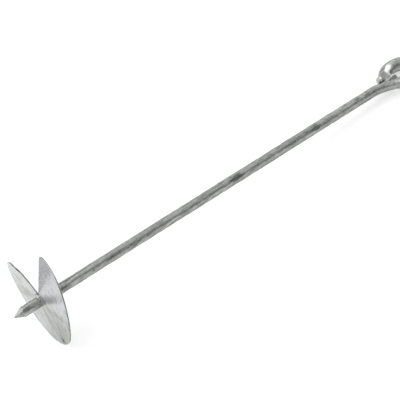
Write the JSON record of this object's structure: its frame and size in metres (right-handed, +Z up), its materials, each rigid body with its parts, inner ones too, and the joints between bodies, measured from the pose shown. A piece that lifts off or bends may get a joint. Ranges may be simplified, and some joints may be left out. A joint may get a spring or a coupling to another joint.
{
  "type": "screw earth anchor",
  "caption": "Galvanised steel bar with a forged point, one welded helix plate near the point and a closed ring eye at the other end.",
  "frame": {"origin": "middle of the footprint, on the floor, with the anchor lying on the rim of its plate and the underside of its eye", "axes": "+Z up, +X along the bar towards the eye (the bar slopes down to the eye by the plate's height), +Y level across the bar"},
  "size_m": [0.7507, 0.1414, 0.1404],
  "materials": {
    "zinc_bar": "mottled hot-dip galvanised",
    "zinc_plate": "smooth hot-dip galvanised",
    "zinc_weld": "galvanised over weld bead"
  },
  "bodies": {
    "root": {"anchor_bar": "zinc_bar", "helix_plate": "zinc_plate", "front_bead": "zinc_weld", "back_bead": "zinc_weld", "eye_bead": "zinc_weld"}
  },
  "joints": []
}
